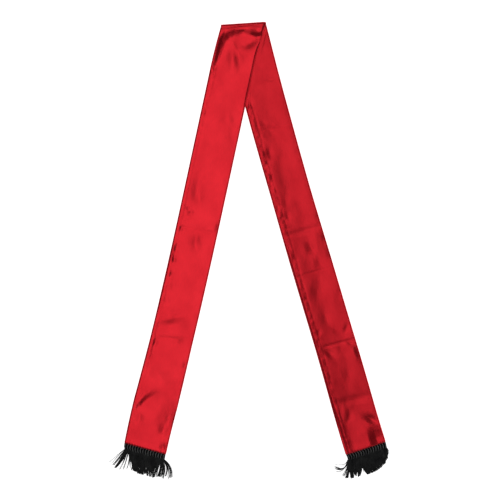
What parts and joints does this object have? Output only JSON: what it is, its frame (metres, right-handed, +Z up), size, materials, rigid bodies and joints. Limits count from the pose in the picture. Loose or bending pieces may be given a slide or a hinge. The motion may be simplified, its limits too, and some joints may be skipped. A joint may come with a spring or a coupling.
{
  "type": "neck scarf",
  "caption": "Long narrow satin neck scarf with a corded fringe on each end, folded across its middle and laid flat in a narrow V.",
  "frame": {"origin": "centre of the bounding box, at the surface that the scarf lies on", "axes": "+Z up from that surface, +Y from the fringed ends towards the fold, +X to the right seen from above"},
  "size_m": [0.5544, 0.9146, 0.0092],
  "materials": {
    "red_satin": "satin weave with a soft sheen",
    "black_fringe": "matt corded heading and loose cut threads"
  },
  "bodies": {
    "root": {"lower_leg": "red_satin", "upper_leg": "red_satin", "fringe_left": "black_fringe", "fringe_right": "black_fringe"}
  },
  "joints": []
}
